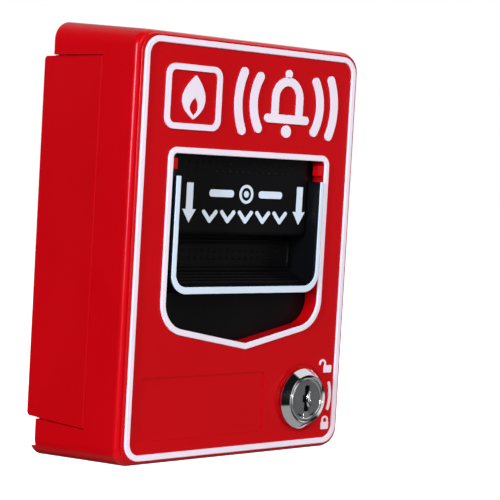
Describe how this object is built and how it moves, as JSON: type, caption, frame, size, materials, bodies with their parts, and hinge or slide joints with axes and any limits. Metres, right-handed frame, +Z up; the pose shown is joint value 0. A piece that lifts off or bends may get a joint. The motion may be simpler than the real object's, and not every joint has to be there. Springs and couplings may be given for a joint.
{
  "type": "manual call point",
  "caption": "Red wall-mounted manual call point: hinged cover with a cam lock, a black pull-down handle with a sprung push bar, and a rear wiring box.",
  "frame": {"origin": "centre of the rear box's mounting face, on the wall", "axes": "+Z up along the long side, +Y into the wall (the front faces -Y), +X to the right as seen from the front"},
  "size_m": [0.084, 0.0438, 0.1189],
  "materials": {
    "red_plastic": "gloss moulded plastic",
    "white_trim": "raised white lines, slightly glossy",
    "white_mark": "printed white",
    "black_plastic": "satin moulded plastic",
    "switch_plastic": "moulded plastic",
    "red_button": "moulded plastic",
    "steel": "zinc plated",
    "lever_steel": "polished leaf",
    "chrome": "polished chrome plate",
    "plug_metal": "brushed, dark",
    "nut_brass": "plain brass",
    "rubber": "soft black rubber",
    "board": "green solder mask",
    "terminal_plastic": "green moulded plastic",
    "resistor_body": "lacquered",
    "wire_cover": "wire insulation"
  },
  "bodies": {
    "box": {"rear_box": "red_plastic", "cable_grommet": "rubber", "strike_plate": "steel", "strike_screws": "steel"},
    "cover": {"front_cover": "red_plastic", "border_trim": "white_trim", "window_trim": "white_trim", "front_symbols": "white_trim", "lock_symbols": "white_trim", "handle_guide": "black_plastic", "micro_switch": "switch_plastic", "switch_button": "red_button", "hinge_pins": "steel", "guide_screws": "steel", "switch_screws": "steel", "board_screws": "steel", "lock_washer": "steel", "detent_spring": "steel", "detent_screw": "steel", "terminal_screws": "steel", "lock_body": "chrome", "lock_nut": "nut_brass", "circuit_board": "board", "terminal_block": "terminal_plastic", "line_resistor": "resistor_body", "switch_leads": "wire_cover"},
    "handle": {"pull_handle": "black_plastic", "handle_outline": "white_mark", "trip_arm": "steel", "trip_screw": "steel", "push_springs": "steel"},
    "push_bar": {"push_bar": "black_plastic", "push_marks": "white_mark", "push_pins": "steel", "pin_clips": "steel"},
    "switch_lever": {"switch_lever": "lever_steel"},
    "lock_plug": {"lock_plug": "plug_metal", "key_shutter": "chrome", "lock_cam": "steel", "cam_screw": "steel"}
  },
  "joints": [
    {"name": "cover_hinge", "type": "hinge", "parent": "box", "child": "cover", "pos_m": [-0.0365, -0.008, 0], "axis": [0, 0, -1], "range_deg": [0, 90]},
    {"name": "handle_slide", "type": "slide", "parent": "cover", "child": "handle", "axis": [0, 0, -1], "range_m": [0, 0.007]},
    {"name": "push_slide", "type": "slide", "parent": "handle", "child": "push_bar", "axis": [0, 1, 0], "range_m": [0, 0.003], "stiffness_N_per_m": 400, "springref_m": -0.002, "deforming": ["push_springs"]},
    {"name": "switch_turn", "type": "hinge", "parent": "cover", "child": "switch_lever", "pos_m": [0.0331, -0.0133, -0.0034], "axis": [1, 0, 0], "range_deg": [0, 12.02]},
    {"name": "plug_turn", "type": "hinge", "parent": "cover", "child": "lock_plug", "pos_m": [0.0242, -0.0408, -0.042], "axis": [0, 1, 0], "range_deg": [0, 90]}
  ],
  "couplings": [
    {"joint": "switch_turn", "follows": "handle_slide", "rad_per_m": 29.92}
  ]
}
